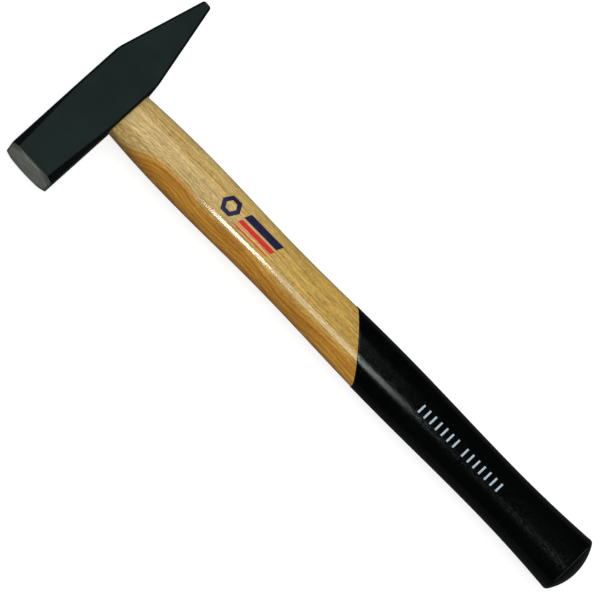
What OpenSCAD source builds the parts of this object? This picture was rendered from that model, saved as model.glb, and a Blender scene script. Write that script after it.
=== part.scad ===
// Cross-pein hammer, lying on one cheek of its head.
//
// +X runs along the handle, +Y points to the pein and -Y to the striking face,
// +Z is up. The origin is on the resting cheek, directly below the eye centre.
// The head is forged steel, the handle is an oval stave of hickory that is
// wedged into the hourglass eye, and its grip is dipped in a thick coat.

/* [Head] */
// Side of the square body, across its flats
head_side = 27; // [25:0.5:29]
// Distance from the eye centre to the middle of the striking face
face_reach = 55.1; // [48.1:0.2:59.1]
// Radius of the slight crown of the striking face
face_crown = 100; // [60:5:200]
// Distance from the eye centre to the tip of the pein
pein_reach = 63.2; // [56:0.2:70]
// Thickness of the pein at its tip
pein_tip = 4.9; // [3:0.1:7]
// Rounding of the two edges of the pein tip
pein_round = 1.1; // [0.4:0.1:1.4]
// Distance from the eye centre to the bend where the pein starts to taper
bend_reach = 16; // [13:0.2:20]
// Radius that blends the square body into the taper
bend_round = 25; // [8:1:40]
// Corner chamfer of the body at the striking face
face_corner = 3.8; // [2:0.1:5]
// Distance from the eye centre at which the corner chamfers run out
corner_reach = 13; // [8:0.5:20]
// Small chamfer on the remaining long edges
edge_break = 1.1; // [0.3:0.1:1.2]
// Bevel around the striking face
face_bevel = 0.9; // [0.4:0.1:1.5]

/* [Eye] */
// Long axis of the eye at its waist
eye_len = 22; // [20:0.2:23]
// Short axis of the eye at its waist
eye_width = 13; // [12:0.2:14]
// How much wider each axis is at the two mouths
eye_flare = 2; // [1:0.1:2.5]
// Depth of the broken edge around the upper mouth, where the tenon ends
mouth_break = 0.5; // [0.2:0.1:0.8]

/* [Handle] */
// Distance from the eye centre to the end of the handle
handle_reach = 321; // [300:0.5:335]
// Lean of the handle towards the pein, in degrees
hang_angle = 1.75; // [0:0.05:3]
// Width and thickness where the handle meets the head
shoulder_size = [25.4, 16.8]; // [16:0.2:27]
// Width and thickness of the belly below the head
belly_size = [29.4, 18.6]; // [18:0.2:32]
// Width of the slim neck
neck_width = 27.6; // [24:0.2:30]
// Width of the palm swell
swell_width = 30; // [26:0.2:34]
// Width of the waist behind the palm
waist_width = 28; // [24:0.2:32]
// Thickness of the grip, which the handle reaches behind the neck
grip_thick = 22.4; // [19:0.2:26]
// Width and thickness of the flared end
flare_size = [32.0, 25.2]; // [24:0.2:36]
// Radius of the domed end
dome_round = 28; // [22:1:40]
// Radius of the edge around the domed end
dome_edge = 2; // [1:0.1:3]

/* [Grip coat] */
// Distance from the eye centre to the dip line, on the centreline
dip_reach = 168.1; // [150.1:0.5:189.6]
// Angle between the dip line and a square cut, in degrees
dip_angle = 41.5; // [0:0.5:45]
// Thickness of the dipped coat
coat = 0.25; // [0.15:0.05:0.35]

/* [Wedges] */
// Width of the saw kerf in the tenon
kerf_width = 0.8; // [0.6:0.1:1.2]
// Depth of the saw kerf, from the end of the tenon
kerf_depth = 22; // [19:0.5:24]
// Thickness of the wooden wedge at its outer end
wood_wedge_thick = 3.6; // [2.4:0.1:4.4]
// Length of the wooden wedge
wood_wedge_len = 19; // [15:0.5:20]
// Thickness of a steel wedge at its outer end
steel_wedge_thick = 2.6; // [1.6:0.1:3]
// Length of a steel wedge
steel_wedge_len = 13; // [9:0.5:15]
// Width of a steel wedge
steel_wedge_width = 10; // [7:0.5:10]
// Distance of each steel wedge from the middle of the eye
steel_wedge_spacing = 6; // [5:0.2:7]

/* [Hidden] */

half = head_side / 2;
taper = atan((half - pein_tip / 2) / (pein_reach - bend_reach));
tenon_top = -half + mouth_break;

// Distance from the eye centre to the rim of the crowned face, at its flats.
rim_reach = face_reach - face_crown + sqrt(pow(face_crown, 2) - pow(half - face_bevel, 2));

// The end of the handle: the angle and the place where its edge meets the dome.
dome_join = acos((flare_size[0] / 2 - dome_edge) / (dome_round - dome_edge));
flare_at = handle_reach - dome_round + (dome_round - dome_edge) * sin(dome_join);

// Places of the other sections along the handle, and the stretch over which it
// gets as thick as the grip.
belly_at = 58;
neck_at = 116;
swell_at = 188;
waist_at = 263;
thicken_from = 132;
thicken_to = 238;

// Roundness of the sections: 2 is an ellipse, and a higher exponent is nearer
// to a rectangle.
eye_roundness = 2.2;
shoulder_roundness = 3.2;
grip_roundness = 2.25;

// Exponent of the eye's flare: it opens slowly at the waist, then faster.
eye_curve = 1.6;

// Slopes of the rings, and the stretches over which the slope changes.
dip_slope = tan(dip_angle);
hang_slope = tan(hang_angle);
dip_blend = 40;
hang_blend = 25;

// Points around each ring, and the number of rings in each stretch.
around = 40;
eye_rings = 6;
front_rings = 15;
rear_rings = 16;
edge_steps = 3;
dome_steps = 4;
arc_steps = 6;
// Angle at which the dome's rings stop, just short of its middle.
dome_stop = 86;

// Thickness of every wedge at its point, and the saw teeth of a steel wedge.
wedge_point = 0.8;
barb = 0.2;
barbs = 4;

// Overshoot of a cut, and the size of a block that cuts away a whole side.
over = 1;
big = 200;

// Moves the eye centre from the origin to its height above the resting cheek.
module at_mid_height() {
    translate([0, 0, half]) children();
}

// ---- Curves ---------------------------------------------------------------

function mix(a, b, t) = a + (b - a) * t;
function ease(t) = (1 - cos(180 * t)) / 2;
function ramp(x, from, to) = ease(min(1, max(0, (x - from) / (to - from))));

function arc(centre, r, from, to, steps) =
    [for (i = [0:steps])
        let (a = mix(from, to, i / steps))
        centre + r * [cos(a), sin(a)]];

// The handle opens from the shoulder to the belly like a quarter wave, and from
// the waist to the flare like a parabola. In between it changes in smooth steps.
function shoulder_ease(x) = sin(90 * (x - half) / (belly_at - half));
function flare_ease(x) = pow(min(1, max(0, (x - waist_at) / (flare_at - waist_at))), 2);

function body_width(x) =
    x < belly_at ? mix(shoulder_size[0], belly_size[0], shoulder_ease(x))
    : x < neck_at ? mix(belly_size[0], neck_width, ramp(x, belly_at, neck_at))
    : x < swell_at ? mix(neck_width, swell_width, ramp(x, neck_at, swell_at))
    : x < waist_at ? mix(swell_width, waist_width, ramp(x, swell_at, waist_at))
    : mix(waist_width, flare_size[0], flare_ease(x));

function body_thick(x) =
    x < belly_at ? mix(shoulder_size[1], belly_size[1], shoulder_ease(x))
    : mix(mix(belly_size[1], grip_thick, ramp(x, thicken_from, thicken_to)),
          flare_size[1], flare_ease(x));

function body_size(x) = [body_width(max(x, half)), body_thick(max(x, half))];
function body_roundness(x) =
    mix(shoulder_roundness, grip_roundness, ramp(x, half, belly_at));

// Height of the centreline above the eye, as the handle leans to the pein.
function lean(x) = hang_slope * max(0, x - half);

// Slope of a ring of points. Rings are square to the head at the shoulder,
// turn with the lean of the handle, and are parallel to the dip line there.
function ring_slope(x) =
    let (toward_dip = ramp(x, dip_reach - dip_blend, dip_reach),
         past_dip = ramp(x, dip_reach, dip_reach + dip_blend))
    mix(hang_slope * ramp(x, half, half + hang_blend), dip_slope,
        toward_dip * (1 - past_dip));

// A point of a superellipse of the given size, at the parameter angle a.
function oval(size, roundness, a) =
    [size[0] * cos(a), size[1] * sin(a)] / 2
        / pow(pow(abs(cos(a)), roundness) + pow(abs(sin(a)), roundness),
              1 / roundness);

// ---- Rings of points ------------------------------------------------------

function eye_size(x) =
    [eye_len, eye_width] + [1, 1] * eye_flare * pow(abs(x) / half, eye_curve);

function oval_ring(x, size, roundness) =
    [for (i = [0:around - 1])
        let (p = oval(size, roundness, 360 * i / around))
        [x, p[0], p[1]]];

// A point of the handle's surface where the sloping ring through x0 meets the
// direction a. The size at the point's own x is found in a few steps.
function body_point(x0, a, skin, x, steps = 3) =
    let (size = body_size(x) + 2 * skin * [1, 1],
         p = oval(size, body_roundness(x), a),
         next_x = x0 - ring_slope(x0) * p[0])
    steps == 0
        ? [x, p[0] + lean(x), p[1]]
        : body_point(x0, a, skin, next_x, steps - 1);

function body_ring(x0, skin = 0) =
    [for (i = [0:around - 1])
        body_point(x0, 360 * i / around, skin, x0)];

// Rings over the end: a small edge radius that runs into a shallow dome. The
// outline is scaled down by the profile, and the profile's tangents agree.
function dome_rings(skin = 0) =
    let (reach = handle_reach + skin,
         edge = dome_edge + skin,
         dome = dome_round + skin,
         size = flare_size + 2 * skin * [1, 1],
         profile = concat(
             arc([size[0] / 2 - edge, flare_at], edge, 0, dome_join, edge_steps),
             [for (i = [1:dome_steps])
                 let (a = mix(dome_join, dome_stop, i / dome_steps))
                 [dome * cos(a), reach - dome + dome * sin(a)]]))
    [for (q = profile)
        [for (i = [0:around - 1])
            let (p = oval(size, grip_roundness, 360 * i / around)
                     * q[0] / (size[0] / 2))
            [q[1] - hang_slope * p[0], p[0] + lean(q[1]), p[1]]]];

tenon_rings =
    [for (i = [0:eye_rings])
        let (x = mix(tenon_top, half, i / eye_rings))
        oval_ring(x, eye_size(x), eye_roundness)];

// Places of the body rings ahead of the dip line and behind it. The end's own
// rings start at the flare.
front_stations =
    [for (i = [0:front_rings - 1]) mix(half, dip_reach, i / front_rings)];
rear_stations =
    [for (i = [0:rear_rings - 1]) mix(dip_reach, flare_at, i / rear_rings)];

// ---- Solids ---------------------------------------------------------------

// A closed solid through a list of rings that all have the same count.
module loft(rings) {
    last = len(rings) - 1;
    sides = [for (i = [0:last - 1], j = [0:around - 1])
        let (a = i * around + j,
             b = i * around + (j + 1) % around)
        each [[a, a + around, b], [b, a + around, b + around]]];
    caps = [[for (j = [0:around - 1]) j],
            [for (j = [around - 1:-1:0]) last * around + j]];
    polyhedron(points = [for (r = rings) each r],
               faces = concat(sides, caps), convexity = 6);
}

// A block whose flat underside passes through the local origin, facing -Z.
module cut_above() {
    translate([-big / 2, -big / 2, 0]) cube(big);
}

// Side outline of the head: square body, blended bend, taper and rounded tip.
// It overshoots the striking face, which the crown cuts.
module side_outline() {
    line = half * cos(taper) + bend_reach * sin(taper);
    blend_y = bend_reach - bend_round * tan(taper / 2);
    tip_y = pein_reach - pein_round;
    tip_x = (line - pein_round - tip_y * sin(taper)) / cos(taper);
    edge = concat(
        [[half, -face_reach - over]],
        arc([half - bend_round, blend_y], bend_round, 0, taper, arc_steps),
        arc([tip_x, tip_y], pein_round, taper, 90, arc_steps));
    polygon(concat(edge,
                   [for (i = [len(edge) - 1:-1:0]) [-edge[i][0], edge[i][1]]]));
}

// Planes that chamfer the upper edge of the head on its +X side.
module edge_cuts() {
    run = rim_reach - corner_reach;
    corner_lean = atan((face_corner - edge_break) / run / sqrt(2));
    // Corner chamfer that narrows from the face to the eye.
    translate([half - face_corner / 2, -rim_reach, half - face_corner / 2])
        rotate(a = corner_lean, v = [1, 0, -1])
            rotate([0, 45, 0]) cut_above();
    // Even chamfer beside the eye.
    translate([half - edge_break / 2, 0, half - edge_break / 2])
        rotate([0, 45, 0]) cut_above();
    // Even chamfer along the taper of the pein.
    translate([half, bend_reach, half])
        rotate([0, 0, taper])
            translate([-edge_break / 2, 0, -edge_break / 2])
                rotate([0, 45, 0]) cut_above();
}

// The crown of the striking face: a ball that holds the rest of the head.
module crown() {
    translate([0, face_crown - face_reach, 0]) sphere(face_crown, $fn = 180);
}

// Bevel around the eight-sided striking face.
module face_cuts() {
    for (i = [0:7]) {
        reach = i % 2 == 0 ? half : (head_side - face_corner) / sqrt(2);
        translate([0, -rim_reach, 0])
            rotate([0, 45 * i, 0])
                translate([reach - face_bevel, 0, 0])
                    rotate([90, 0, 0]) rotate([0, 45, 0]) cut_above();
    }
}

module eye() {
    mouth = mouth_break + over;
    loft(concat(
        [oval_ring(-half - over, eye_size(tenon_top) + 2 * mouth * [1, 1],
                   eye_roundness)],
        tenon_rings,
        [oval_ring(half + over, eye_size(half), eye_roundness)]));
}

// Tapered wedge outline in the plane of its length and thickness.
module wedge_outline(length, thick) {
    polygon([[0, -thick / 2], [0, thick / 2],
             [length, wedge_point / 2], [length, -wedge_point / 2]]);
}

// Wedge outline with saw-tooth barbs along both flanks.
module barbed_outline(length, thick) {
    function flank(t) = mix(thick, wedge_point, t) / 2;
    pitch = 1 / (barbs + 1);
    side = concat(
        [[0, flank(0)]],
        [for (i = [1:barbs]) each [[length * pitch * i, flank(pitch * i)],
                                   [length * pitch * i, flank(pitch * i) - barb]]],
        [[length, wedge_point / 2 - barb / 2]]);
    polygon(concat(side,
                   [for (i = [len(side) - 1:-1:0]) [side[i][0], -side[i][1]]]));
}

module steel_wedge(y) {
    translate([tenon_top, y, -steel_wedge_width / 2])
        linear_extrude(steel_wedge_width)
            barbed_outline(steel_wedge_len, steel_wedge_thick);
}

module steel_wedges() {
    steel_wedge(-steel_wedge_spacing);
    steel_wedge(steel_wedge_spacing);
}

module wood_wedge_blank() {
    translate([tenon_top, eye_len, 0])
        rotate([90, 0, 0])
            linear_extrude(2 * eye_len)
                wedge_outline(wood_wedge_len, wood_wedge_thick);
}

// ---- Nodes ----------------------------------------------------------------

module head() {
    color("#1f2827")
        at_mid_height()
            difference() {
                intersection() {
                    translate([0, 0, -half]) linear_extrude(head_side) side_outline();
                    crown();
                }
                for (side = [0, 1], face = [0, 1])
                    mirror([side, 0, 0]) mirror([0, 0, face]) edge_cuts();
                face_cuts();
                eye();
            }
}

module handle() {
    color("#c9a45e")
        at_mid_height()
            difference() {
                loft(concat(
                    tenon_rings,
                    [for (x = front_stations) body_ring(x)],
                    [for (x = rear_stations) body_ring(x)],
                    dome_rings()));
                wood_wedge_blank();
                translate([tenon_top - over, -eye_len, -kerf_width / 2])
                    cube([kerf_depth + over, 2 * eye_len, kerf_width]);
                steel_wedges();
            }
}

module kerf_wedge() {
    color("#b98d4c")
        at_mid_height()
            difference() {
                intersection() {
                    wood_wedge_blank();
                    loft(tenon_rings);
                }
                steel_wedges();
            }
}

module steel_wedge_face_end() {
    color("#8d9194") at_mid_height() steel_wedge(-steel_wedge_spacing);
}

module steel_wedge_pein_end() {
    color("#8d9194") at_mid_height() steel_wedge(steel_wedge_spacing);
}

module grip_coating() {
    inner = concat([for (x = rear_stations) body_ring(x)], dome_rings());
    outer = concat([for (x = rear_stations) body_ring(x, coat)],
                   dome_rings(coat));
    color("#0b0b0c")
        at_mid_height()
            loft(concat([for (i = [len(inner) - 1:-1:0]) inner[i]], outer));
}

head();
handle();
kerf_wedge();
steel_wedge_face_end();
steel_wedge_pein_end();
grip_coating();
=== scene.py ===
"""Looks of the cross-pein hammer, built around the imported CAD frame.

The hammer lies on one cheek of its head: +X runs along the handle, +Y points to
the pein, -Y to the striking face and +Z is up. Shapes are worked out in
millimetres about the eye's centre, and become metres when a mesh is made.
"""
import math

import bmesh
import bpy
from mathutils import Matrix, Vector


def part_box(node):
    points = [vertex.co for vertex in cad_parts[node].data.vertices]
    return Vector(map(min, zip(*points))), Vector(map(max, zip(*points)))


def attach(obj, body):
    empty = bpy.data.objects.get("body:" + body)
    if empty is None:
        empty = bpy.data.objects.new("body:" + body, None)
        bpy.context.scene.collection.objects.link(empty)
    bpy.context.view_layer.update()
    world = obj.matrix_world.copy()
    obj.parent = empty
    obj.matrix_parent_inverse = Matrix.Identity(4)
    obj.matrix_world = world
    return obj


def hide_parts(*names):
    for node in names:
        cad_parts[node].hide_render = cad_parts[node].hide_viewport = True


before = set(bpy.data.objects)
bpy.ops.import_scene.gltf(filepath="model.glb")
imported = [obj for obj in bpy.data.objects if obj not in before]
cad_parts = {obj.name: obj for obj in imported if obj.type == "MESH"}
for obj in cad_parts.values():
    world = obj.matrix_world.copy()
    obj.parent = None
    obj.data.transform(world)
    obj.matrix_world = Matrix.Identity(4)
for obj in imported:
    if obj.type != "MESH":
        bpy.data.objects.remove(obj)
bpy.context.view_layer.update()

MM = 0.001
BODY = "root"

HEAD_LOW, HEAD_HIGH = (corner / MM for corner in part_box("head"))

# ---- Sizes of the design, in millimetres ------------------------------------

HALF = HEAD_HIGH.x
FACE_REACH = -HEAD_LOW.y
PEIN_REACH = HEAD_HIGH.y
PEIN_TIP = 4.9
PEIN_ROUND = 1.1
BEND_REACH = 16.0
BEND_ROUND = 25.0
FACE_CORNER = 3.8
CORNER_REACH = 13.0
EDGE_BREAK = 1.1
FACE_BEVEL = 0.9
FACE_CROWN = 100.0
TAPER = math.atan((HALF - PEIN_TIP / 2) / (PEIN_REACH - BEND_REACH))


def crown_sag(radius):
    """How far the crowned striking face lies behind its middle at that radius."""
    return FACE_CROWN - math.sqrt(FACE_CROWN ** 2 - radius ** 2)


RIM_REACH = FACE_REACH - crown_sag(HALF - FACE_BEVEL)
PAINT_REACH = RIM_REACH - FACE_BEVEL

EYE_SIZE = (22.0, 13.0)
EYE_FLARE = 2.0
EYE_CURVE = 1.6
EYE_ROUNDNESS = 2.2
MOUTH_BREAK = 0.5
TENON_TOP = -HALF + MOUTH_BREAK

HANDLE_REACH = 321.0
HANG_SLOPE = math.tan(math.radians(1.75))
# At the shoulder, belly, neck, palm swell, waist and flared end.
WIDTHS = (25.4, 29.4, 27.6, 30.0, 28.0, 32.0)
# At the shoulder, belly, palm swell and flared end.
THICKNESSES = (16.8, 18.6, 22.4, 25.2)
BELLY_AT = 58.0
NECK_AT = 116.0
SWELL_AT = 188.0
WAIST_AT = 263.0
THICKEN_FROM = 132.0
THICKEN_TO = 238.0
SHOULDER_ROUNDNESS = 3.2
GRIP_ROUNDNESS = 2.25
DOME_ROUND = 28.0
DOME_EDGE = 2.0
DOME_JOIN = math.acos((WIDTHS[-1] / 2 - DOME_EDGE) / (DOME_ROUND - DOME_EDGE))
FLARE_AT = HANDLE_REACH - DOME_ROUND + (DOME_ROUND - DOME_EDGE) * math.sin(DOME_JOIN)

DIP_REACH = 168.1
DIP_SLOPE = math.tan(math.radians(41.5))
DIP_BLEND = 40.0
HANG_BLEND = 25.0
COAT = 0.25
LIP = 0.35

KERF_WIDTH = 0.8
KERF_DEPTH = 22.0
# Thick end, point and length.
WOOD_WEDGE = (3.6, 0.8, 19.0)
STEEL_WEDGE_SPACING = 6.0
STEEL_WEDGE_THICK = 2.6
STEEL_WEDGE_POINT = 0.8
STEEL_WEDGE_LEN = 13.0
STEEL_WEDGE_WIDTH = 10.0
BARB = 0.2
BARBS = 4

INK_GRID = 0.8
INK_ABOVE = 0.03
INK_BELOW = 0.05

# Points around a ring, spacing of the rings, and how far a cutter reaches past its cut.
AROUND = 128
STEP = 1.5
PAST = 1.0
EDGE_SOFTNESS = 0.3

# Angles, in degrees, above which an edge is shaded as sharp.
SHARP_ANGLE = 30.0
COAT_SHARP_ANGLE = 50.0
INK_SHARP_ANGLE = 60.0

# In metres: how close corners become one, in any piece and in the cut head, and how
# close to a plane a corner counts as lying on it.
WELD = 1e-7
CUT_WELD = 1e-6
ON_PLANE = 1e-8

# Growth layers of the wood: arcs about a far centre, in millimetres.
ARC_RADIUS = 75.0
ARC_HEIGHT = 4.0
LAYERS_PER_MM = 0.62

# ---- Stage and camera -------------------------------------------------------

ROOM_FILL = 0.52
ROOM_MIRRORED = 0.016
ARCH = 0.6
# As the camera sees the floor, as gloss mirrors it, and as it lights the hammer.
FLOOR_MATTE = (0.36, 0.07, 0.60)
FLOOR_GLOW = (0.80, 0.0, 0.0)
FLOOR_RADIUS = 3.0
FLOOR_GAP = 0.0001

# The camera's distance is in metres. It aims at a place along the handle, but a little
# to the left of it and above it in the picture. Those three are in millimetres.
TOWARD_CAMERA = (-0.0203, -0.2756, 0.9610)
CAMERA_ROLL = math.radians(-47.28)
CAMERA_DISTANCE = 2.0
LENS = 249.9
SENSOR = 36.0
AIM_AT = 140.0
AIM_LEFT = 3.41
AIM_UP = 4.42


# ---- Curves -----------------------------------------------------------------

def mix(a, b, t):
    """Goes from a to b while t goes from 0 to 1."""
    return a + (b - a) * t


def ease(t):
    """Goes from 0 to 1 with t, slowly at both ends."""
    return (1 - math.cos(math.pi * t)) / 2


def ramp(x, start, end):
    """Goes from 0 to 1 while x goes from start to end, slowly at both ends."""
    return ease(min(1.0, max(0.0, (x - start) / (end - start))))


def shoulder_ease(x):
    """Goes from 0 under the head to 1 at the belly, fast at first."""
    return math.sin(math.pi / 2 * min(1.0, (x - HALF) / (BELLY_AT - HALF)))


def flare_ease(x):
    """Goes from 0 at the waist to 1 at the flared end, slowly at first."""
    return max(0.0, min(1.0, (x - WAIST_AT) / (FLARE_AT - WAIST_AT))) ** 2


def body_width(x):
    shoulder, belly, neck, swell, waist, flare = WIDTHS
    if x < BELLY_AT:
        return mix(shoulder, belly, shoulder_ease(x))
    if x < NECK_AT:
        return mix(belly, neck, ramp(x, BELLY_AT, NECK_AT))
    if x < SWELL_AT:
        return mix(neck, swell, ramp(x, NECK_AT, SWELL_AT))
    if x < WAIST_AT:
        return mix(swell, waist, ramp(x, SWELL_AT, WAIST_AT))
    return mix(waist, flare, flare_ease(x))


def body_thickness(x):
    shoulder, belly, grip, flare = THICKNESSES
    if x < BELLY_AT:
        return mix(shoulder, belly, shoulder_ease(x))
    return mix(mix(belly, grip, ramp(x, THICKEN_FROM, THICKEN_TO)), flare, flare_ease(x))


def body_size(x):
    x = max(x, HALF)
    return body_width(x), body_thickness(x)


def body_roundness(x):
    return mix(SHOULDER_ROUNDNESS, GRIP_ROUNDNESS, ramp(x, HALF, BELLY_AT))


def lean(x):
    """How far the handle's centreline has moved towards the pein at x."""
    return HANG_SLOPE * max(0.0, x - HALF)


def ring_slope(x):
    """Slope of the ring through x: square to the handle, but along the dip line near it."""
    near_dip = ramp(x, DIP_REACH - DIP_BLEND, DIP_REACH) * (
        1 - ramp(x, DIP_REACH, DIP_REACH + DIP_BLEND))
    return mix(HANG_SLOPE * ramp(x, HALF, HALF + HANG_BLEND), DIP_SLOPE, near_dip)


def oval(size, roundness, angle):
    """A point of a superellipse of that full width and thickness."""
    c, s = math.cos(angle), math.sin(angle)
    radius = (abs(c) ** roundness + abs(s) ** roundness) ** (-1 / roundness) / 2
    return size[0] * c * radius, size[1] * s * radius


def spaced(start, end, step):
    """Evenly spaced values from start up to, but without, end."""
    count = max(1, round((end - start) / step))
    return [mix(start, end, i / count) for i in range(count)]


# ---- Rings of points --------------------------------------------------------

ANGLES = [2 * math.pi * i / AROUND for i in range(AROUND)]


def eye_size(x, grow=0.0):
    """Width and thickness of the hourglass eye at x."""
    flare = EYE_FLARE * (abs(x) / HALF) ** EYE_CURVE + grow
    return EYE_SIZE[0] + flare, EYE_SIZE[1] + flare


def oval_ring(x, size, roundness):
    return [(x, *oval(size, roundness, a)) for a in ANGLES]


def tenon_rings():
    """Rings of the tenon, which fills the eye."""
    steps = 20
    stations = [mix(TENON_TOP, HALF, i / steps) for i in range(steps + 1)]
    return [oval_ring(x, eye_size(x), EYE_ROUNDNESS) for x in stations]


def body_point(station, angle, skin):
    """The surface point at that angle of the sloping ring through station.

    Its x and y depend on each other, so they are found in a few rounds.
    """
    x = station
    for _ in range(5):
        width, thick = body_size(x)
        y, z = oval((width + 2 * skin, thick + 2 * skin), body_roundness(x), angle)
        x = station - ring_slope(station) * y
    return x, y + lean(x), z


def body_ring(station, skin=0.0):
    """A ring of the handle, or of a skin of that thickness over it."""
    return [body_point(station, a, skin) for a in ANGLES]


def dome_rings(skin=0.0):
    """Rings over the end: a small edge radius that runs into a shallow dome."""
    width, thick = WIDTHS[-1] + 2 * skin, THICKNESSES[-1] + 2 * skin
    edge, dome, reach = DOME_EDGE + skin, DOME_ROUND + skin, HANDLE_REACH + skin
    edge_steps, dome_steps = 8, 16
    profile = []
    for i in range(edge_steps + 1):
        a = DOME_JOIN * i / edge_steps
        profile.append((width / 2 - edge + edge * math.cos(a), FLARE_AT + edge * math.sin(a)))
    for i in range(1, dome_steps):
        a = mix(DOME_JOIN, math.pi / 2, i / dome_steps)
        profile.append((dome * math.cos(a), reach - dome + dome * math.sin(a)))
    rings = []
    for radius, x in profile:
        scale = 2 * radius / width
        points = [oval((width, thick), GRIP_ROUNDNESS, a) for a in ANGLES]
        rings.append([(x - HANG_SLOPE * y * scale, y * scale + lean(x), z * scale)
                      for y, z in points])
    return rings


# Where the rings cross the centreline, before and behind the dip line.
FRONT_STATIONS = spaced(HALF, DIP_REACH, STEP)
REAR_STATIONS = spaced(DIP_REACH, FLARE_AT, STEP)


# ---- Meshes -----------------------------------------------------------------

def to_frame(x, y, z):
    """A point about the eye's centre, as metres in the part's frame."""
    return Vector((x, y, z + HALF)) * MM


def new_piece(name, bm, sharp_angle=SHARP_ANGLE):
    """An object from bm, with smooth shading that breaks at its sharp edges."""
    bmesh.ops.remove_doubles(bm, verts=bm.verts, dist=WELD)
    bmesh.ops.recalc_face_normals(bm, faces=bm.faces)
    mesh = bpy.data.meshes.new(name)
    bm.to_mesh(mesh)
    bm.free()
    piece = bpy.data.objects.new(name, mesh)
    bpy.context.scene.collection.objects.link(piece)
    smooth(piece, sharp_angle)
    return piece


def smooth(piece, sharp_angle):
    piece.data.polygons.foreach_set("use_smooth", [True] * len(piece.data.polygons))
    piece.data.set_sharp_from_angle(angle=math.radians(sharp_angle))


def loft(rings):
    """A closed bmesh through rings of points, with a cap on each end."""
    bm = bmesh.new()
    loops = [[bm.verts.new(to_frame(*p)) for p in ring] for ring in rings]
    for near, far in zip(loops, loops[1:]):
        for i in range(AROUND):
            j = (i + 1) % AROUND
            bm.faces.new((near[i], far[i], far[j], near[j]))
    bm.faces.new(loops[0])
    bm.faces.new(reversed(loops[-1]))
    return bm


def prism(outline, low, high, place):
    """A closed bmesh that sweeps a flat outline from low to high; place maps (u, v, w) to a point."""
    bm = bmesh.new()
    ends = [[bm.verts.new(to_frame(*place(u, v, w))) for u, v in outline] for w in (low, high)]
    count = len(outline)
    for i in range(count):
        j = (i + 1) % count
        bm.faces.new((ends[0][i], ends[0][j], ends[1][j], ends[1][i]))
    bm.faces.new(ends[0])
    bm.faces.new(reversed(ends[1]))
    return bm


def cut_with(piece, cutters, operation="DIFFERENCE"):
    """Cuts piece with each object of cutters, and removes those objects."""
    for cutter in cutters:
        modifier = piece.modifiers.new("cut", "BOOLEAN")
        modifier.operation = operation
        modifier.object = cutter
        modifier.solver = "EXACT"
    depsgraph = bpy.context.evaluated_depsgraph_get()
    mesh = bpy.data.meshes.new_from_object(piece.evaluated_get(depsgraph))
    piece.modifiers.clear()
    piece.data = mesh
    for cutter in cutters:
        bpy.data.objects.remove(cutter)
    smooth(piece, SHARP_ANGLE)


def finish_piece(piece, material, slot, *nodes):
    """Gives piece its material, and lets it ride in place of CAD nodes. Its slot argument is not
    used.
    """
    piece.data.materials.clear()
    piece.data.materials.append(material)
    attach(piece, BODY)
    if nodes:
        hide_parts(*nodes)


def even_shading(piece):
    """Keeps large flat faces flat where they meet small rounded edges."""
    modifier = piece.modifiers.new("even_shading", "WEIGHTED_NORMAL")
    modifier.keep_sharp = True
    modifier.weight = 100


# ---- Head -------------------------------------------------------------------

def side_outline():
    """Side outline of the head: square body, blended bend, taper and rounded tip."""
    steps = 14
    line = HALF * math.cos(TAPER) + BEND_REACH * math.sin(TAPER)
    blend_y = BEND_REACH - BEND_ROUND * math.tan(TAPER / 2)
    tip_y = PEIN_REACH - PEIN_ROUND
    tip_x = (line - PEIN_ROUND - tip_y * math.sin(TAPER)) / math.cos(TAPER)
    edge = [(HALF, -RIM_REACH)]
    for i in range(steps + 1):
        a = TAPER * i / steps
        edge.append((HALF - BEND_ROUND + BEND_ROUND * math.cos(a),
                     blend_y + BEND_ROUND * math.sin(a)))
    for i in range(steps + 1):
        a = mix(TAPER, math.pi / 2, i / steps)
        edge.append((tip_x + PEIN_ROUND * math.cos(a), tip_y + PEIN_ROUND * math.sin(a)))
    return edge + [(-x, y) for x, y in reversed(edge)]


def slice_off(bm, point, normal):
    """Removes what is beyond a plane from a convex bmesh, and closes the cut."""
    geometry = bm.verts[:] + bm.edges[:] + bm.faces[:]
    bmesh.ops.bisect_plane(bm, geom=geometry, dist=ON_PLANE, plane_co=to_frame(*point),
                           plane_no=normal, clear_outer=True)
    bmesh.ops.holes_fill(bm, edges=[e for e in bm.edges if e.is_boundary], sides=0)


def edge_planes():
    """Planes that chamfer the upper edge of the head on its +X side."""
    root = math.sqrt(0.5)
    tilt = math.atan((FACE_CORNER - EDGE_BREAK) / (RIM_REACH - CORNER_REACH) * root)
    corner = HALF - FACE_CORNER / 2
    beside_eye = HALF - EDGE_BREAK / 2
    taper_turn = Matrix.Rotation(TAPER, 3, "Z")
    step_in = taper_turn @ Vector((-EDGE_BREAK / 2, 0, -EDGE_BREAK / 2))
    return [
        (Vector((corner, -RIM_REACH, corner)),
         Vector((root * math.cos(tilt), -math.sin(tilt), root * math.cos(tilt)))),
        (Vector((beside_eye, 0, beside_eye)), Vector((root, 0, root))),
        (Vector((HALF, BEND_REACH, HALF)) + step_in, taper_turn @ Vector((root, 0, root))),
    ]


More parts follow.
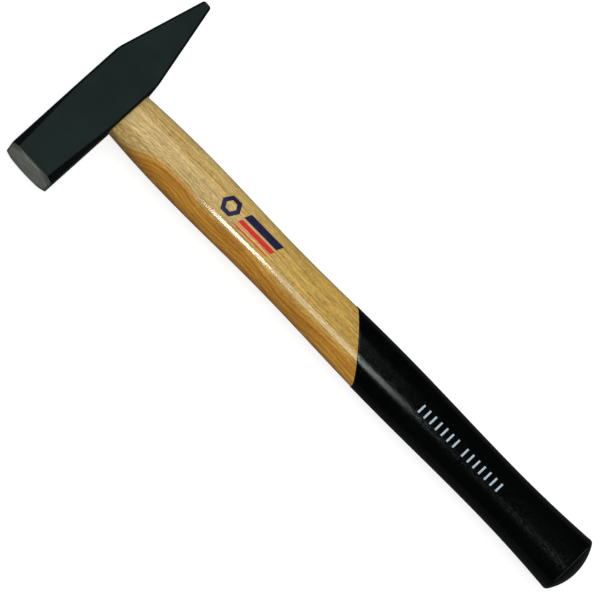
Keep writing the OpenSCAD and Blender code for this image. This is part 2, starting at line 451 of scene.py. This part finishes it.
def head_blank():
    """The head before its eye is cut, with every long edge softened."""
    bm = prism(side_outline(), -HALF, HALF, lambda u, v, w: (u, v, w))
    bmesh.ops.recalc_face_normals(bm, faces=bm.faces)
    for side_x in (1, -1):
        for side_z in (1, -1):
            sides = Vector((side_x, 1, side_z))
            for point, normal in edge_planes():
                slice_off(bm, point * sides, normal * sides)
    # The bevel around the striking face: a plane for each of its eight sides.
    for i in range(8):
        a = math.pi / 4 * i
        reach = HALF if i % 2 == 0 else (2 * HALF - FACE_CORNER) * math.sqrt(0.5)
        out = Vector((math.cos(a), 0, math.sin(a)))
        point = out * (reach - FACE_BEVEL) + Vector((0, -RIM_REACH, 0))
        slice_off(bm, point, out + Vector((0, -1, 0)))
    bmesh.ops.remove_doubles(bm, verts=bm.verts, dist=CUT_WELD)
    bmesh.ops.recalc_face_normals(bm, faces=bm.faces)
    soften(bm, EDGE_SOFTNESS)
    crown_face(bm)
    return bm


def soften(bm, radius, least_angle=14.0):
    """Rounds every edge of bm that turns by more than least_angle degrees."""
    edges = [e for e in bm.edges
             if len(e.link_faces) == 2 and e.calc_face_angle() > math.radians(least_angle)]
    bmesh.ops.bevel(bm, geom=edges, offset=radius * MM, offset_type="OFFSET", segments=3,
                    profile=0.5, affect="EDGES", clamp_overlap=True)


def crown_face(bm):
    """Raises the flat striking face, and the bevel around it, into a shallow dome."""
    for axis in (Vector((1, 0, 0)), Vector((0, 0, 1))):
        for at in spaced(-HALF, HALF, STEP)[1:]:
            # The pieces of the flat face, without the narrow strips of its softened rim.
            face = {f for f in bm.faces if f.normal.y < -0.99 and f.calc_area() > MM ** 2 / 4}
            edges = {e for f in face for e in f.edges}
            verts = {v for f in face for v in f.verts}
            bmesh.ops.bisect_plane(bm, geom=[*verts, *edges, *face], dist=ON_PLANE,
                                   plane_co=to_frame(*(axis * at)), plane_no=axis)
    for v in bm.verts:
        x, y, z = v.co.x / MM, v.co.y / MM, v.co.z / MM - HALF
        share = min(1.0, (-y - PAINT_REACH) / FACE_BEVEL)
        if share > 0:
            rise = crown_sag(HALF - FACE_BEVEL) - crown_sag(math.hypot(x, z))
            v.co.y -= share * rise * MM


def eye_cutter():
    """The eye's inside, with the broken edge of its mouth."""
    grow = 2 * (MOUTH_BREAK + PAST)
    rings = [oval_ring(-HALF - PAST, eye_size(TENON_TOP, grow), EYE_ROUNDNESS)]
    rings += tenon_rings()
    rings.append(oval_ring(HALF + PAST, eye_size(HALF), EYE_ROUNDNESS))
    return new_piece("eye_cutter", loft(rings))


def build_head(paint, steel):
    """The painted head and its bare striking face, parted from one blank."""
    blank = new_piece("head_blank", head_blank())
    halves = []
    for name, outward in (("head_body", -1), ("striking_face", 1)):
        bm = bmesh.new()
        bm.from_mesh(blank.data)
        slice_off(bm, (0, -PAINT_REACH, 0), Vector((0, outward, 0)))
        halves.append(new_piece(name, bm))
    bpy.data.objects.remove(blank)
    painted, face = halves
    cut_with(painted, [eye_cutter()])
    even_shading(painted)
    even_shading(face)
    finish_piece(painted, paint, "head_paint", "head")
    finish_piece(face, steel, "face_steel", "head")


# ---- Handle, wedges and grip coat -------------------------------------------

def barbed_outline(length, thick, point):
    """Outline of a tapered wedge with saw-tooth barbs along both flanks."""
    side = [(0.0, thick / 2)]
    for i in range(1, BARBS + 1):
        t = i / (BARBS + 1)
        flank = mix(thick, point, t) / 2
        side += [(length * t, flank), (length * t, flank - BARB)]
    side.append((length, point / 2 - BARB / 2))
    return side + [(u, -v) for u, v in reversed(side)]


def steel_wedge(name, y):
    """A barbed steel wedge, driven in flush across the kerf at y."""
    outline = barbed_outline(STEEL_WEDGE_LEN, STEEL_WEDGE_THICK, STEEL_WEDGE_POINT)
    reach = STEEL_WEDGE_WIDTH / 2
    bm = prism(outline, -reach, reach, lambda u, v, w: (TENON_TOP + u, y + v, w))
    return new_piece(name, bm)


def along_kerf(name, outline):
    """A prism that runs through the eye along the kerf, and out at both sides."""
    reach = EYE_SIZE[0]
    bm = prism(outline, -reach, reach, lambda u, v, w: (TENON_TOP + u, w, v))
    return new_piece(name, bm)


def wood_wedge(name):
    """The wooden wedge before it is cut to the shape of the eye."""
    thick, point, length = WOOD_WEDGE
    return along_kerf(name, [
        (0, -thick / 2), (0, thick / 2), (length, point / 2), (length, -point / 2)])


def kerf_cutter():
    """The saw kerf itself."""
    half = KERF_WIDTH / 2
    return along_kerf("kerf_cutter", [
        (-PAST, -half), (-PAST, half), (KERF_DEPTH, half), (KERF_DEPTH, -half)])


def steel_cutters():
    """Two bodies that cut the places of the steel wedges."""
    return [steel_wedge("wedge_cutter", side * STEEL_WEDGE_SPACING) for side in (-1, 1)]


def build_handle(wood):
    """The handle: one loft from tenon to domed end, with the kerf and the wedges' places cut."""
    rings = tenon_rings()
    rings += [body_ring(x) for x in FRONT_STATIONS + REAR_STATIONS]
    rings += dome_rings()
    handle = new_piece("hickory_handle", loft(rings))
    cut_with(handle, [wood_wedge("kerf_cutter"), kerf_cutter(), *steel_cutters()])
    finish_piece(handle, wood, "hickory", "handle")


def build_wedges(wood, steel):
    """The wooden wedge, cut to the eye and around the steel wedges, and those two."""
    wooden = wood_wedge("wooden_wedge")
    cut_with(wooden, [new_piece("tenon_cutter", loft(tenon_rings()))], "INTERSECT")
    cut_with(wooden, steel_cutters())
    finish_piece(wooden, wood, "wedge_wood", "kerf_wedge")
    for name, side in (("face_end", -1), ("pein_end", 1)):
        barbed = steel_wedge("barbed_wedge_" + name, side * STEEL_WEDGE_SPACING)
        finish_piece(barbed, steel, "wedge_steel", "steel_wedge_" + name)


def build_grip_coat(coat):
    """The dipped coat: a shell with a rounded lip at the dip line."""
    inner = [body_ring(x) for x in REAR_STATIONS] + dome_rings()
    steps = 5
    lip = []
    for i in range(1, steps + 1):
        a = math.pi / 2 * i / steps
        lip.append(body_ring(DIP_REACH + LIP * (1 - math.cos(a)), COAT * math.sin(a)))
    outer = lip + [body_ring(x, COAT) for x in REAR_STATIONS[1:]] + dome_rings(COAT)
    piece = new_piece("grip_coat", loft(inner[::-1] + outer), COAT_SHARP_ANGLE)
    finish_piece(piece, coat, "grip_black", "grip_coating")


# ---- Printed marks ----------------------------------------------------------

def top_surface(x, y, skin):
    """Height of the handle's upper side over a point that is y from its centreline."""
    width, thick = body_size(x)
    n = body_roundness(x)
    share = min(1.0, abs(2 * y / (width + 2 * skin)))
    return (thick / 2 + skin) * (1 - share ** n) ** (1 / n)


def printed(name, outlines, skin, ink, slot):
    """Flat outlines, in millimetres along and across the handle, as a thin layer of ink."""
    bm = bmesh.new()
    for outline in outlines:
        bm.faces.new([bm.verts.new((x, y, 0)) for x, y in outline])
    bmesh.ops.remove_doubles(bm, verts=bm.verts, dist=WELD / MM)
    xs = [v.co.x for v in bm.verts]
    ys = [v.co.y for v in bm.verts]
    for axis, low, high in ((0, min(xs), max(xs)), (1, min(ys), max(ys))):
        normal = Vector([float(i == axis) for i in range(3)])
        for at in spaced(low, high, INK_GRID)[1:]:
            bmesh.ops.bisect_plane(bm, geom=bm.verts[:] + bm.edges[:] + bm.faces[:],
                                   plane_co=normal * at, plane_no=normal)
    top = bmesh.ops.extrude_face_region(bm, geom=bm.faces[:])["geom"]
    for v in top:
        if isinstance(v, bmesh.types.BMVert):
            v.co.z = 1
    for v in bm.verts:
        x, y, layer = v.co
        height = top_surface(x, y, skin) + (INK_ABOVE if layer > 0.5 else -INK_BELOW)
        v.co = to_frame(x, y + lean(x), height)
    finish_piece(new_piece(name, bm, INK_SHARP_ANGLE), ink, slot)


def bar(x, y, length, height, slant=0.0):
    """A bar centred on (x, y), whose ends lean by slant."""
    return [(x - length / 2 - slant, y - height / 2), (x + length / 2 - slant, y - height / 2),
            (x + length / 2 + slant, y + height / 2), (x - length / 2 + slant, y + height / 2)]


def hexagon_ring(x, y, outer, inner):
    """A six-sided ring, as six outlines that share their ends."""
    turn = [math.radians(60 * i) for i in range(7)]
    corner = [[(x + r * math.cos(a), y + r * math.sin(a)) for a in turn] for r in (outer, inner)]
    return [[corner[0][i], corner[0][i + 1], corner[1][i + 1], corner[1][i]] for i in range(6)]


def build_prints(navy, red, white):
    """A hexagon and three bars on the wood, and two groups of dashes on the coat."""
    hexagon = hexagon_ring(x=79.0, y=2.6, outer=5.6, inner=3.0)
    thick_bar = bar(x=99.0, y=5.0, length=22.0, height=4.0, slant=0.8)
    printed("mark_navy", hexagon + [thick_bar], 0.0, navy, "print_navy")
    middle_bar = bar(x=98.0, y=0.6, length=22.0, height=2.4, slant=0.5)
    thin_bar = bar(x=97.0, y=-2.6, length=22.0, height=0.6)
    printed("mark_red", [middle_bar, thin_bar], 0.0, red, "print_red")
    pitch = 3.9
    dashes = [bar(x=group + pitch * i, y=-1.0, length=1.0, height=5.0)
              for group in (212.0, 241.5) for i in range(7)]
    printed("grip_marks", dashes, COAT, white, "print_white")


# ---- Materials --------------------------------------------------------------

class Graph:
    """Builds the node tree of a material or a world. Inputs may be sockets or plain values."""

    def __init__(self, owner):
        self.owner = owner
        owner.use_nodes = True
        self.nodes = owner.node_tree.nodes
        self.links = owner.node_tree.links
        self.nodes.clear()

    def put(self, socket, value):
        """Links a socket to that input, or sets the input to a plain value."""
        if isinstance(value, bpy.types.NodeSocket):
            self.links.new(value, socket)
        elif isinstance(value, (tuple, list)) and socket.type == "RGBA":
            socket.default_value = (*value, 1.0)
        else:
            socket.default_value = value

    def node(self, kind, inputs=(), **settings):
        """Adds a node; inputs maps its sockets, by name or number, to what goes into them."""
        node = self.nodes.new(kind)
        for key, value in settings.items():
            setattr(node, key, value)
        for key, value in dict(inputs).items():
            self.put(node.inputs[key], value)
        return node

    def position(self):
        """Object coordinates, in millimetres."""
        coords = self.node("ShaderNodeTexCoord").outputs["Object"]
        return self.stretch(coords, (1 / MM, 1 / MM, 1 / MM))

    def stretch(self, vector, scale):
        """Scales a place, so that noise on it has that many waves per millimetre."""
        return self.node("ShaderNodeVectorMath", {0: vector, 1: scale},
                         operation="MULTIPLY").outputs[0]

    def split(self, vector):
        return self.node("ShaderNodeSeparateXYZ", {0: vector}).outputs[:3]

    def join(self, x, y, z):
        return self.node("ShaderNodeCombineXYZ", {0: x, 1: y, 2: z}).outputs[0]

    def math(self, operation, a, b=0.0, c=0.0):
        return self.node("ShaderNodeMath", {0: a, 1: b, 2: c}, operation=operation).outputs[0]

    def add(self, a, b):
        return self.math("ADD", a, b)

    def times(self, a, b):
        return self.math("MULTIPLY", a, b)

    def noise(self, vector, detail=2.0, roughness=0.5):
        return self.node("ShaderNodeTexNoise", {
            "Vector": vector, "Scale": 1.0, "Detail": detail,
            "Roughness": roughness}).outputs["Fac"]

    def fade(self, value, start, end, low=0.0, high=1.0):
        """Goes smoothly from low to high while value goes from start to end."""
        return self.node("ShaderNodeMapRange", {
            0: value, 1: start, 2: end, 3: low, 4: high},
            interpolation_type="SMOOTHSTEP").outputs[0]

    def blend(self, share, a, b, mode="MIX"):
        """A colour from a to b. Sockets 6 and 7 are the mix node's colours."""
        node = self.node("ShaderNodeMix", data_type="RGBA", blend_type=mode)
        self.put(node.inputs[0], share)
        self.put(node.inputs[6], a)
        self.put(node.inputs[7], b)
        return node.outputs[2]

    def bump(self, height, depth, normal=None):
        """Relief of that depth in millimetres where height goes from 0 to 1."""
        inputs = {"Height": height, "Distance": depth * MM, "Strength": 1.0}
        if normal is not None:
            inputs["Normal"] = normal
        return self.node("ShaderNodeBump", inputs).outputs[0]

    def surface(self, shader, output="ShaderNodeOutputMaterial"):
        """Ends the tree with that shader's output, and returns what owns the tree."""
        self.put(self.node(output).inputs["Surface"], shader)
        return self.owner

    def shader(self, inputs):
        """Ends a material's tree with a principled shader."""
        return self.surface(self.node("ShaderNodeBsdfPrincipled", inputs).outputs[0])

    def tell_rays(self, seen, mirrored, otherwise):
        """A grey that depends on whether the stage is seen, mirrored or only gives light."""
        rays = self.node("ShaderNodeLightPath").outputs
        grey = self.blend_values(rays["Is Glossy Ray"], otherwise, mirrored)
        return self.blend_values(rays["Is Camera Ray"], grey, seen)

    def blend_values(self, share, a, b):
        """A value from a to b. Sockets 2 and 3 are the mix node's values."""
        return self.node("ShaderNodeMix", {0: share, 2: a, 3: b}).outputs[0]


def along_handle(g):
    """The place in the wood, in millimetres, with the handle's lean taken out."""
    x, y, z = g.split(g.position())
    y = g.math("MULTIPLY_ADD", x, -HANG_SLOPE, g.add(y, HANG_SLOPE * HALF))
    return x, y, g.add(z, -HALF)


def growth_depth(g, x, y, z, grain):
    """Depth in the growth layers: wide arcs that wave slowly and dip under the head."""
    wave = g.times(g.add(g.math("SINE", g.math("MULTIPLY_ADD", x, 0.118, -1.3)),
                         g.math("SINE", g.math("MULTIPLY_ADD", x, 0.047, 0.6))),
                   g.fade(y, -3.0, -12.0, 0.3, 0.9))
    dip = g.times(g.add(g.fade(x, 13.0, 46.0, 5.5, 0.0), g.fade(x, 54.0, 68.0, -0.3, 0.6)),
                  g.fade(y, 6.0, -5.0))
    level = g.add(g.add(y, dip), wave)
    far = g.math("SQRT", g.add(g.math("POWER", g.add(level, ARC_RADIUS), 2.0),
                               g.math("POWER", g.add(z, -ARC_HEIGHT), 2.0)))
    drift = g.noise(g.stretch(grain, (0.012, 0.09, 0.09)), detail=3.0)
    return g.add(g.add(far, -ARC_RADIUS), g.times(g.add(drift, -0.5), 5.0))


def growth_layers(g, depth):
    """How early the wood grew within its layer, and a tone for each layer."""
    uneven = g.noise(g.join(0.0, g.times(depth, 0.35), 0.0), detail=1.0)
    count = g.add(g.times(depth, LAYERS_PER_MM), g.times(uneven, 1.4))
    phase = g.math("FRACT", count)
    early = g.times(g.fade(phase, 0.0, 0.08), g.fade(phase, 0.60, 0.12))
    tone = g.node("ShaderNodeTexWhiteNoise", {"W": g.math("FLOOR", count)},
                  noise_dimensions="1D").outputs["Value"]
    return early, tone


def wood_colour(g, x, cloud, heart, dark):
    """Sapwood that yellows away from the head, heartwood, and dark lines on both."""
    away = g.fade(x, 30.0, 150.0)
    pale = g.blend(away, (0.74, 0.53, 0.190), (0.68, 0.435, 0.090))
    deep = g.blend(away, (0.64, 0.44, 0.140), (0.58, 0.355, 0.064))
    heart_wood = g.blend(cloud, (0.66, 0.325, 0.032), (0.50, 0.215, 0.014))
    wood = g.blend(heart, g.blend(cloud, pale, deep), heart_wood)
    line = g.blend(heart, (0.33, 0.180, 0.040), (0.26, 0.085, 0.010))
    return g.blend(g.times(dark, 0.62), wood, line)


def hickory():
    """Straight-grained sapwood with a strip of heartwood on the face side, lacquered."""
    g = Graph(bpy.data.materials.new("hickory"))
    x, y, z = along_handle(g)
    grain = g.join(x, y, z)
    depth = growth_depth(g, x, y, z, grain)
    early, tone = growth_layers(g, depth)
    fibre = g.fade(g.noise(g.stretch(grain, (0.05, 1.9, 1.9)), detail=4.0, roughness=0.75),
                   0.36, 0.64)
    fleck = g.fade(g.noise(g.stretch(grain, (0.40, 2.2, 2.2)), detail=3.0, roughness=0.8),
                   0.38, 0.62)
    cloud = g.fade(g.noise(g.stretch(grain, (0.02, 0.16, 0.16)), detail=2.0), 0.35, 0.65)
    # The heartwood's boundary follows a growth layer.
    heart = g.fade(g.add(depth, g.times(g.add(fibre, -0.5), 0.7)), -4.9, -8.3)
    # Open pores lie in the early wood, as short dark dashes along the handle.
    streaks = g.noise(g.stretch(grain, (0.10, 2.2, 2.2)), detail=3.0, roughness=0.7)
    pores = g.fade(streaks, 0.50, 0.61)
    dark = g.math("MINIMUM", g.add(
        g.times(early, g.math("MULTIPLY_ADD", pores, 0.50, g.times(heart, 0.30))),
        g.math("MULTIPLY_ADD", pores, 0.46, g.times(early, 0.42))), 1.0)

    grainy = g.add(g.times(g.add(fibre, -0.5), 0.40), g.times(g.add(fleck, -0.5), 0.44))
    shade = g.add(g.math("MULTIPLY_ADD", g.add(tone, -0.5), 0.12, 0.95),
                  g.times(grainy, g.fade(heart, 0.0, 1.0, 1.0, 0.65)))
    wood = g.blend(1.0, wood_colour(g, x, cloud, heart, dark),
                   g.join(shade, shade, shade), "MULTIPLY")

    relief = g.add(g.times(dark, -0.6), g.times(fibre, 0.5))
    waves = g.noise(g.stretch(grain, (0.03, 0.5, 0.5)), detail=1.0)
    lacquer = g.add(waves, g.times(dark, -0.03))
    return g.shader({
        "Base Color": wood, "Roughness": g.fade(dark, 0.0, 1.0, 0.48, 0.62),
        "Specular IOR Level": 0.3, "Normal": g.bump(relief, 0.04),
        "Coat Weight": 1.0, "Coat Roughness": 0.065, "Coat IOR": 1.5,
        "Coat Normal": g.bump(lacquer, 0.004)})


def wedge_hardwood():
    """The wooden wedge: close-grained hardwood, end on, without lacquer."""
    g = Graph(bpy.data.materials.new("wedge_hardwood"))
    p = g.position()
    fibre = g.noise(g.stretch(p, (0.15, 3.5, 3.5)), detail=4.0, roughness=0.6)
    rays = g.noise(g.stretch(p, (0.2, 0.5, 5.0)), detail=2.0)
    grain = g.add(g.times(fibre, 0.6), g.times(rays, 0.4))
    wood = g.blend(g.fade(grain, 0.36, 0.64), (0.20, 0.115, 0.045), (0.46, 0.30, 0.135))
    return g.shader({
        "Base Color": wood, "Roughness": g.fade(grain, 0.3, 0.7, 0.75, 0.55),
        "Specular IOR Level": 0.35, "Normal": g.bump(grain, 0.12)})


def black_lacquer():
    """Satin black paint over a forged surface, a little greenish in the light."""
    g = Graph(bpy.data.materials.new("black_lacquer"))
    p = g.position()
    forged = g.noise(g.stretch(p, (0.09, 0.07, 0.09)), detail=5.0, roughness=0.62)
    peel = g.noise(g.stretch(p, (1.3, 1.3, 1.3)), detail=2.0)
    dust = g.noise(g.stretch(p, (4.5, 4.5, 4.5)), detail=3.0, roughness=0.7)
    cloud = g.noise(g.stretch(p, (0.05, 0.05, 0.05)), detail=3.0)
    paint = g.blend(g.fade(cloud, 0.3, 0.7), (0.0010, 0.0018, 0.0017), (0.0017, 0.0028, 0.0026))
    paint = g.blend(g.fade(dust, 0.62, 0.78, 0.0, 0.3), paint, (0.010, 0.013, 0.012))
    relief = g.add(g.times(peel, 0.35), g.times(dust, 0.25))
    normal = g.bump(relief, 0.02, normal=g.bump(forged, 0.22))
    return g.shader({
        "Base Color": paint, "Roughness": g.fade(cloud, 0.25, 0.75, 0.40, 0.34),
        "Specular IOR Level": 0.5, "Specular Tint": (0.64, 1.0, 0.95), "Normal": normal})


def ground_steel():
    """Bare steel, ground along X, with the long scratches of a coarse belt."""
    g = Graph(bpy.data.materials.new("ground_steel"))
    p = g.position()
    lines = g.noise(g.stretch(p, (0.15, 4.0, 4.0)), detail=3.0, roughness=0.65)
    scratches = g.noise(g.stretch(p, (0.11, 1.1, 1.1)), detail=3.0, roughness=0.7)
    tone = g.add(g.times(lines, 0.4), g.times(scratches, 0.6))
    steel = g.blend(g.fade(tone, 0.40, 0.60), (0.19, 0.205, 0.18), (0.42, 0.45, 0.40))
    # Painted shade: the base colour is darker on the rim, and darkest on the bevel beside the paint,
    # which faces the lamps.
    y = g.split(p)[1]
    rim_painted_shade = g.add(g.fade(y, -RIM_REACH - 0.1, -RIM_REACH + 0.2, 0.0, 0.60),
                g.fade(y, -RIM_REACH + 0.2, -PAINT_REACH, 0.0, 0.25))
    steel = g.blend(rim_painted_shade, steel, (0.10, 0.115, 0.105))
    return g.shader({
        "Base Color": steel, "Metallic": 0.45, "Roughness": g.fade(tone, 0.3, 0.7, 0.52, 0.40),
        "Normal": g.bump(lines, 0.015)})


def mild_steel():
    """Plain wedge steel, hammered flush and slightly tarnished."""
    g = Graph(bpy.data.materials.new("mild_steel"))
    p = g.position()
    dents = g.noise(g.stretch(p, (0.9, 0.9, 0.9)), detail=2.0)
    scratch = g.noise(g.stretch(p, (2.0, 7.0, 1.2)), detail=3.0, roughness=0.7)
    stain = g.noise(g.stretch(p, (0.6, 0.6, 0.6)), detail=4.0, roughness=0.65)
    steel = g.blend(g.fade(scratch, 0.35, 0.65), (0.36, 0.36, 0.355), (0.55, 0.55, 0.54))
    steel = g.blend(g.fade(stain, 0.55, 0.75, 0.0, 0.5), steel, (0.16, 0.10, 0.06))
    return g.shader({
        "Base Color": steel, "Metallic": 1.0, "Roughness": g.fade(stain, 0.3, 0.7, 0.30, 0.55),
        "Normal": g.bump(g.add(dents, g.times(scratch, 0.15)), 0.10)})


def dipped_black():
    """Thick glossy coat that lets the grain show through as faint ripples."""
    g = Graph(bpy.data.materials.new("dipped_black"))
    p = g.position()
    ripples = g.noise(g.stretch(p, (0.10, 1.1, 1.1)), detail=4.0, roughness=0.65)
    grit = g.noise(g.stretch(p, (0.6, 1.3, 1.3)), detail=3.0, roughness=0.7)
    cloud = g.noise(g.stretch(p, (0.02, 0.1, 0.1)), detail=3.0)
    black = g.blend(g.fade(cloud, 0.3, 0.7), (0.0003, 0.0004, 0.0004), (0.0008, 0.0009, 0.0010))
    black = g.blend(g.fade(grit, 0.60, 0.75, 0.0, 0.4), black, (0.0030, 0.0034, 0.0036))
    relief = g.add(g.times(ripples, 0.5), g.times(grit, 0.5))
    # Glossier towards the dip line, with grains that are less so.
    roughness = g.add(g.fade(g.split(p)[0], 285.0, 225.0, 0.12, 0.08),
                      g.fade(grit, 0.38, 0.62, 0.0, 0.13))
    return g.shader({
        "Base Color": black, "Roughness": roughness,
        "Specular IOR Level": 0.5, "Specular Tint": (0.90, 1.0, 0.98),
        "Normal": g.bump(relief, 0.04)})


def ink(name, pale, deep, weight):
    """Printed ink: slightly uneven, with pinholes, under the same gloss as its ground."""
    g = Graph(bpy.data.materials.new(name))
    p = g.position()
    uneven = g.noise(g.stretch(p, (0.5, 2.5, 2.5)), detail=3.0, roughness=0.6)
    holes = g.noise(g.stretch(p, (2.2, 6.0, 6.0)), detail=2.0)
    tint = g.blend(g.fade(uneven, 0.35, 0.65), deep, pale)
    waves = g.noise(g.stretch(p, (0.05, 0.9, 0.9)), detail=3.0, roughness=0.6)
    return g.shader({
        "Base Color": g.blend(g.fade(holes, 0.60, 0.72, 0.0, weight), tint, (0.30, 0.20, 0.09)),
        "Roughness": g.fade(uneven, 0.3, 0.7, 0.55, 0.45), "Specular IOR Level": 0.3,
        "Normal": g.bump(uneven, 0.01),
        "Coat Weight": 0.35, "Coat Roughness": 0.16, "Coat IOR": 1.5,
        "Coat Normal": g.bump(waves, 0.035)})


# ---- Studio -----------------------------------------------------------------

def area_light(name, place, aim, size, radiance, seen_in_gloss=True):
    """A flat lamp of that radiance, which faces aim. Lengths are in metres."""
    lamp = bpy.data.lights.new(name, "AREA")
    lamp.shape = "RECTANGLE"
    lamp.size, lamp.size_y = size
    lamp.energy = radiance * math.pi * size[0] * size[1]
    light = bpy.data.objects.new(name, lamp)
    bpy.context.scene.collection.objects.link(light)
    light.location = place
    light.rotation_euler = (Vector(aim) - Vector(place)).to_track_quat("-Z", "Y").to_euler()
    light.visible_camera = False
    light.visible_glossy = seen_in_gloss


def studio_world():
    """A pale room that looks dim in gloss, with an arch of soft light over each end."""
    g = Graph(bpy.data.worlds.new("studio"))
    x, _, z = g.split(g.node("ShaderNodeTexCoord").outputs["Generated"])
    side = g.math("ABSOLUTE", x)
    arch = g.times(g.times(g.fade(side, 0.38, 0.50), g.fade(side, 0.74, 0.62)),
                   g.fade(z, 0.10, 0.28))
    mirrored = g.math("MULTIPLY_ADD", arch, ARCH, ROOM_MIRRORED)
    room = g.node("ShaderNodeBackground", {"Color": g.tell_rays(1.0, mirrored, ROOM_FILL)})
    bpy.context.scene.world = g.surface(room.outputs[0], "ShaderNodeOutputWorld")


def studio_floor():
    """A wide, plain white floor that the hammer lies on."""
    bm = bmesh.new()
    bmesh.ops.create_circle(bm, cap_ends=True, segments=96, radius=FLOOR_RADIUS)
    floor = new_piece("floor", bm)
    floor.location.z = -FLOOR_GAP
    g = Graph(bpy.data.materials.new("studio_floor"))
    matte = g.node("ShaderNodeBsdfDiffuse", {"Color": g.tell_rays(*FLOOR_MATTE)})
    glow = g.node("ShaderNodeEmission", {"Color": g.tell_rays(*FLOOR_GLOW)})
    both = g.node("ShaderNodeAddShader", {0: matte.outputs[0], 1: glow.outputs[0]})
    floor.data.materials.append(g.surface(both.outputs[0]))


def studio_lights():
    """Three soft lamps straight above that show in gloss, and one that only fills."""
    middle = (0.14, 0.0, HALF * MM)
    down = Vector((0, 0, -1))
    for name, place, size, radiance in (
            ("softbox", (0.110, -0.195, 1.200), (0.054, 0.215), 21.0),
            ("side_panel", (0.172, -0.165, 1.200), (0.066, 0.320), 4.0),
            ("overhead_card", (-0.075, 0.350, 1.200), (0.370, 0.580), 0.9)):
        area_light(name, place, Vector(place) + down, size, radiance)
    area_light("ceiling", (0.10, 0.15, 2.100), middle, (1.6, 1.6), 1.8, seen_in_gloss=False)


def camera():
    """A long lens over the striking-face side, turned so the handle runs down to the right."""
    toward = Vector(TOWARD_CAMERA).normalized()
    flat = (Vector((1, 0, 0)) - toward * toward.x).normalized()
    over = toward.cross(flat)
    right = flat * math.cos(CAMERA_ROLL) - over * math.sin(CAMERA_ROLL)
    up = flat * math.sin(CAMERA_ROLL) + over * math.cos(CAMERA_ROLL)
    aim = to_frame(AIM_AT, 0.0, 0.0) - right * AIM_LEFT * MM + up * AIM_UP * MM
    data = bpy.data.cameras.new("camera")
    data.lens = LENS
    data.sensor_width = SENSOR
    cam = bpy.data.objects.new("camera", data)
    turn = Matrix((right, up, toward)).transposed().to_4x4()
    cam.matrix_world = Matrix.Translation(aim + toward * CAMERA_DISTANCE) @ turn
    bpy.context.scene.collection.objects.link(cam)
    bpy.context.scene.camera = cam


# ---- Scene ------------------------------------------------------------------

build_head(black_lacquer(), ground_steel())
build_handle(hickory())
build_wedges(wedge_hardwood(), mild_steel())
build_grip_coat(dipped_black())
build_prints(
    ink("navy_ink", (0.006, 0.011, 0.078), (0.003, 0.006, 0.044), 0.35),
    ink("red_ink", (0.78, 0.010, 0.006), (0.66, 0.006, 0.004), 0.35),
    ink("white_ink", (0.52, 0.62, 0.70), (0.42, 0.52, 0.60), 0.0))
studio_world()
studio_floor()
studio_lights()
camera()
bpy.context.scene.view_settings.view_transform = "Standard"
